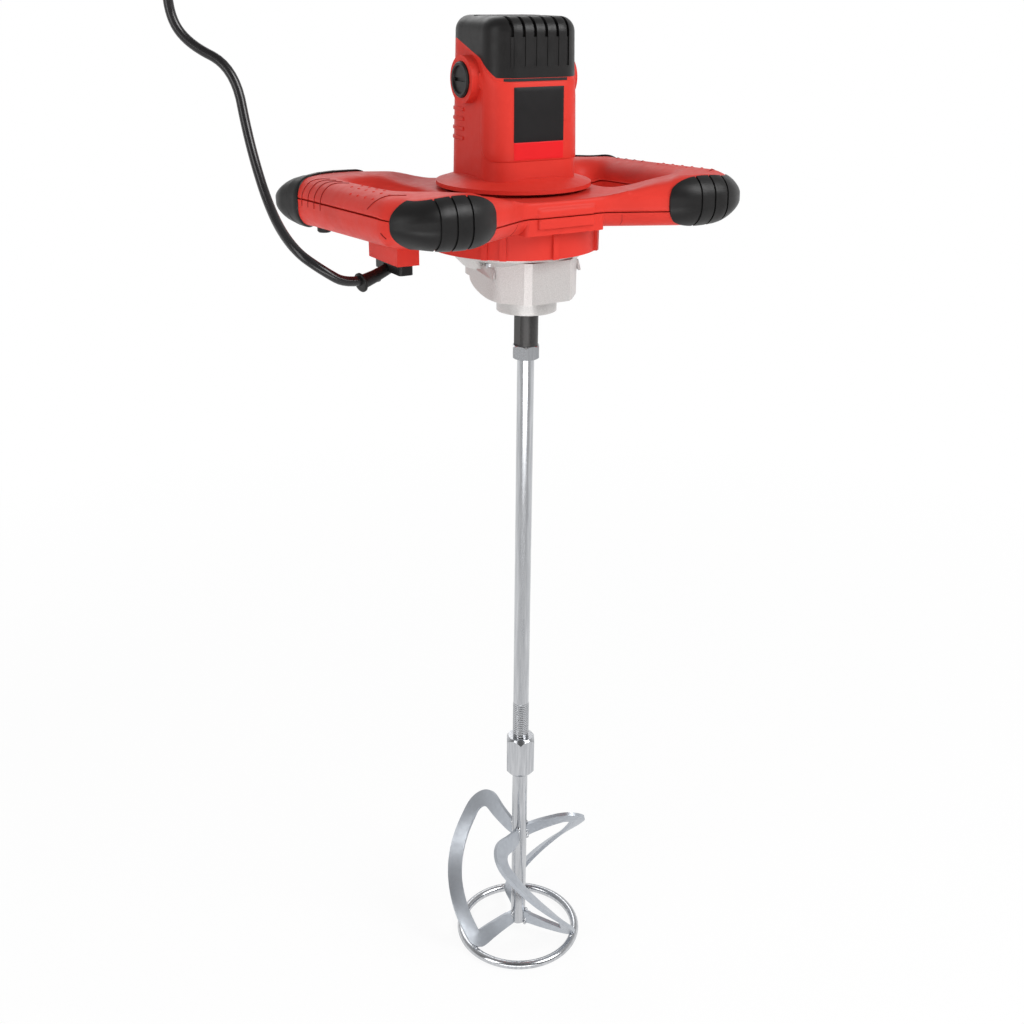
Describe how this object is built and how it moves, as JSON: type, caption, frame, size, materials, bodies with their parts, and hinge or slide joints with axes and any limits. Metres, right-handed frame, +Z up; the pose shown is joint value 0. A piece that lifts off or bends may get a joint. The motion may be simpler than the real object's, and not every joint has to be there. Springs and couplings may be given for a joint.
{
  "type": "mixing drill",
  "caption": "Electric mixing drill with a wide loop-handle housing, upright motor, gearbox, long mixing rod and a ringed paddle with twisted blades.",
  "frame": {"origin": "spindle axis at the foot of the gearbox nose", "axes": "+Z up along the spindle, +X towards the right grip, -Y towards the front with the label panel"},
  "size_m": [0.4184, 0.2306, 1.0112],
  "materials": {
    "red_plastic": "fine moulded",
    "black_plastic": "fine moulded",
    "black_rubber": "matt",
    "cast_alloy": "fine cast",
    "black_steel": "satin",
    "zinc_steel": "zinc plated",
    "bright_steel": "ground",
    "copper": "lacquered wire",
    "core_steel": "stacked sheet",
    "carbon": "pressed carbon",
    "brass": "drawn"
  },
  "bodies": {
    "housing": {"gearbox_housing": "cast_alloy", "gearbox_plate": "cast_alloy", "gearbox_screws": "bright_steel", "spindle_bearing_lower": "bright_steel", "spindle_bearing_upper": "bright_steel", "spindle_seal": "black_rubber", "intermediate_bush_lower": "brass", "intermediate_bush_upper": "brass", "motor_bearing_lower": "bright_steel", "motor_bearing_upper": "bright_steel", "bearing_bridge": "black_plastic", "stator_core": "core_steel", "field_windings": "copper", "carbon_brushes": "carbon", "brush_holders": "brass", "brush_springs": "bright_steel", "brush_caps": "black_plastic", "motor_housing": "red_plastic", "top_cap": "black_plastic", "cap_screws": "black_steel", "upper_handle_shell": "red_plastic", "lower_handle_shell": "red_plastic", "handle_screws": "black_steel", "front_right_bumper": "black_rubber", "front_left_bumper": "black_rubber", "rear_right_bumper": "black_rubber", "rear_left_bumper": "black_rubber", "trigger_spring": "bright_steel", "switch_module": "black_plastic", "cord_clamp": "black_plastic", "strain_relief": "black_rubber", "power_cord": "black_rubber", "cord_coil": "black_rubber", "cord_tie": "black_plastic", "plug_body": "black_rubber", "plug_blades": "brass"},
    "drive_line": {"spindle": "black_steel", "spindle_gear": "bright_steel", "lock_nut": "zinc_steel", "upper_rod": "zinc_steel", "rod_coupling": "zinc_steel", "lower_rod": "zinc_steel", "mixing_ring": "zinc_steel", "mixing_blade_1": "zinc_steel", "mixing_blade_2": "zinc_steel", "mixing_blade_3": "zinc_steel"},
    "intermediate": {"intermediate_shaft": "bright_steel", "intermediate_gear": "bright_steel"},
    "armature": {"armature_shaft": "bright_steel", "armature_core": "core_steel", "armature_windings": "copper", "commutator": "copper", "cooling_fan": "black_plastic"},
    "trigger": {"trigger": "black_plastic"},
    "lock_button": {"lock_button": "black_plastic"},
    "speed_dial": {"speed_dial": "black_plastic"}
  },
  "joints": [
    {"name": "spindle_spin", "type": "hinge", "parent": "housing", "child": "drive_line", "pos_m": [0, 0, 0], "axis": [0, 0, 1], "continuous": true},
    {"name": "intermediate_spin", "type": "hinge", "parent": "housing", "child": "intermediate", "pos_m": [0.01943, 0.01946, 0.03], "axis": [0, 0, 1], "continuous": true},
    {"name": "armature_spin", "type": "hinge", "parent": "housing", "child": "armature", "pos_m": [0, 0.022, 0.12], "axis": [0, 0, 1], "continuous": true},
    {"name": "trigger_slide", "type": "slide", "parent": "housing", "child": "trigger", "axis": [-1, 0, 0], "range_m": [0, 0.006], "stiffness_N_per_m": 1500, "springref_m": -0.002, "deforming": ["trigger_spring"]},
    {"name": "lock_button_slide", "type": "slide", "parent": "housing", "child": "lock_button", "axis": [0, 0, 1], "range_m": [0, 0.003], "stiffness_N_per_m": 1200, "springref_m": -0.001},
    {"name": "speed_dial_turn", "type": "hinge", "parent": "housing", "child": "speed_dial", "pos_m": [-0.123, -0.022, 0.0851], "axis": [0, 0, 1], "range_deg": [0, 270]}
  ],
  "couplings": [
    {"joint": "intermediate_spin", "follows": "spindle_spin", "ratio": -4},
    {"joint": "armature_spin", "follows": "spindle_spin", "ratio": 18.4}
  ]
}
